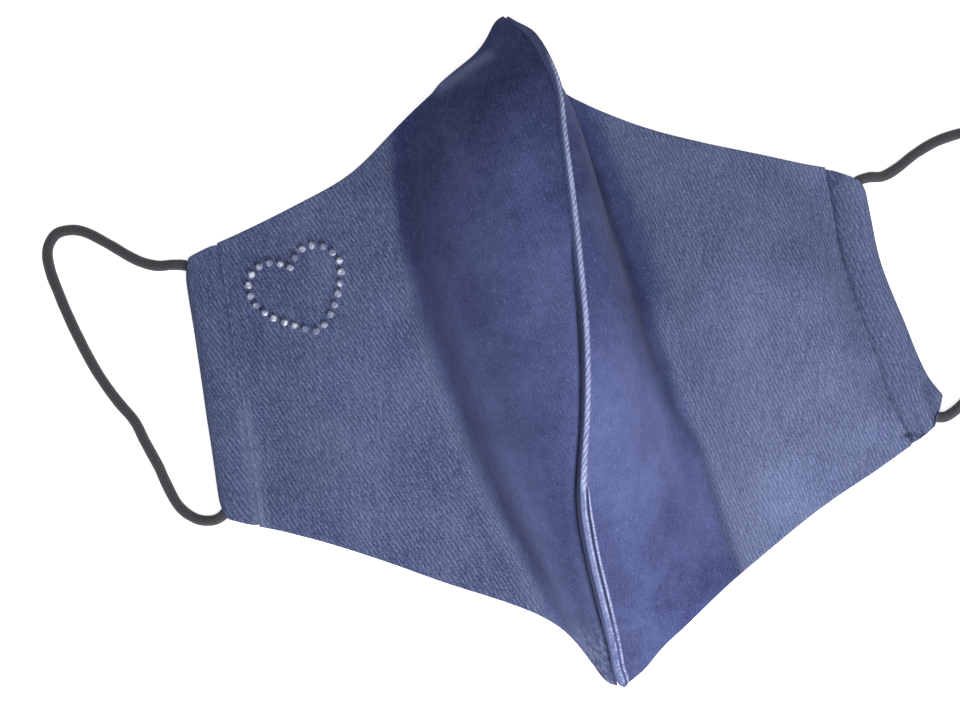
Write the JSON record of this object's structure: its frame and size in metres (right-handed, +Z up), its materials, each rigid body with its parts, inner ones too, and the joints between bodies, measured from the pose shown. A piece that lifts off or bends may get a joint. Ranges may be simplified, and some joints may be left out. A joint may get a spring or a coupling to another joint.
{
  "type": "cloth face mask",
  "caption": "Denim cloth face mask with a curved centre seam, elastic ear loops and a heart outline of small glass stones.",
  "frame": {"origin": "on the surface that the mask lies on, under the middle of the cloth without its ear loops", "axes": "+X from the left side edge to the right one, +Y from the chin to the nose, +Z up out of the outer face"},
  "size_m": [0.2632, 0.1718, 0.0484],
  "materials": {
    "denim": "washed blue denim with a fine diagonal weave",
    "seam": "denim edge worn pale",
    "elastic": "matt knitted round elastic",
    "stone": "clear faceted glass with a silvered back"
  },
  "bodies": {
    "root": {"left_panel": "denim", "right_panel": "denim", "centre_seam": "seam", "left_casing": "denim", "right_casing": "denim", "left_ear_loop": "elastic", "right_ear_loop": "elastic", "stone_01": "stone", "stone_02": "stone", "stone_03": "stone", "stone_04": "stone", "stone_05": "stone", "stone_06": "stone", "stone_07": "stone", "stone_08": "stone", "stone_09": "stone", "stone_10": "stone", "stone_11": "stone", "stone_12": "stone", "stone_13": "stone", "stone_14": "stone", "stone_15": "stone", "stone_16": "stone", "stone_17": "stone", "stone_18": "stone", "stone_19": "stone", "stone_20": "stone", "stone_21": "stone", "stone_22": "stone", "stone_23": "stone", "stone_24": "stone", "stone_25": "stone", "stone_26": "stone"}
  },
  "joints": []
}
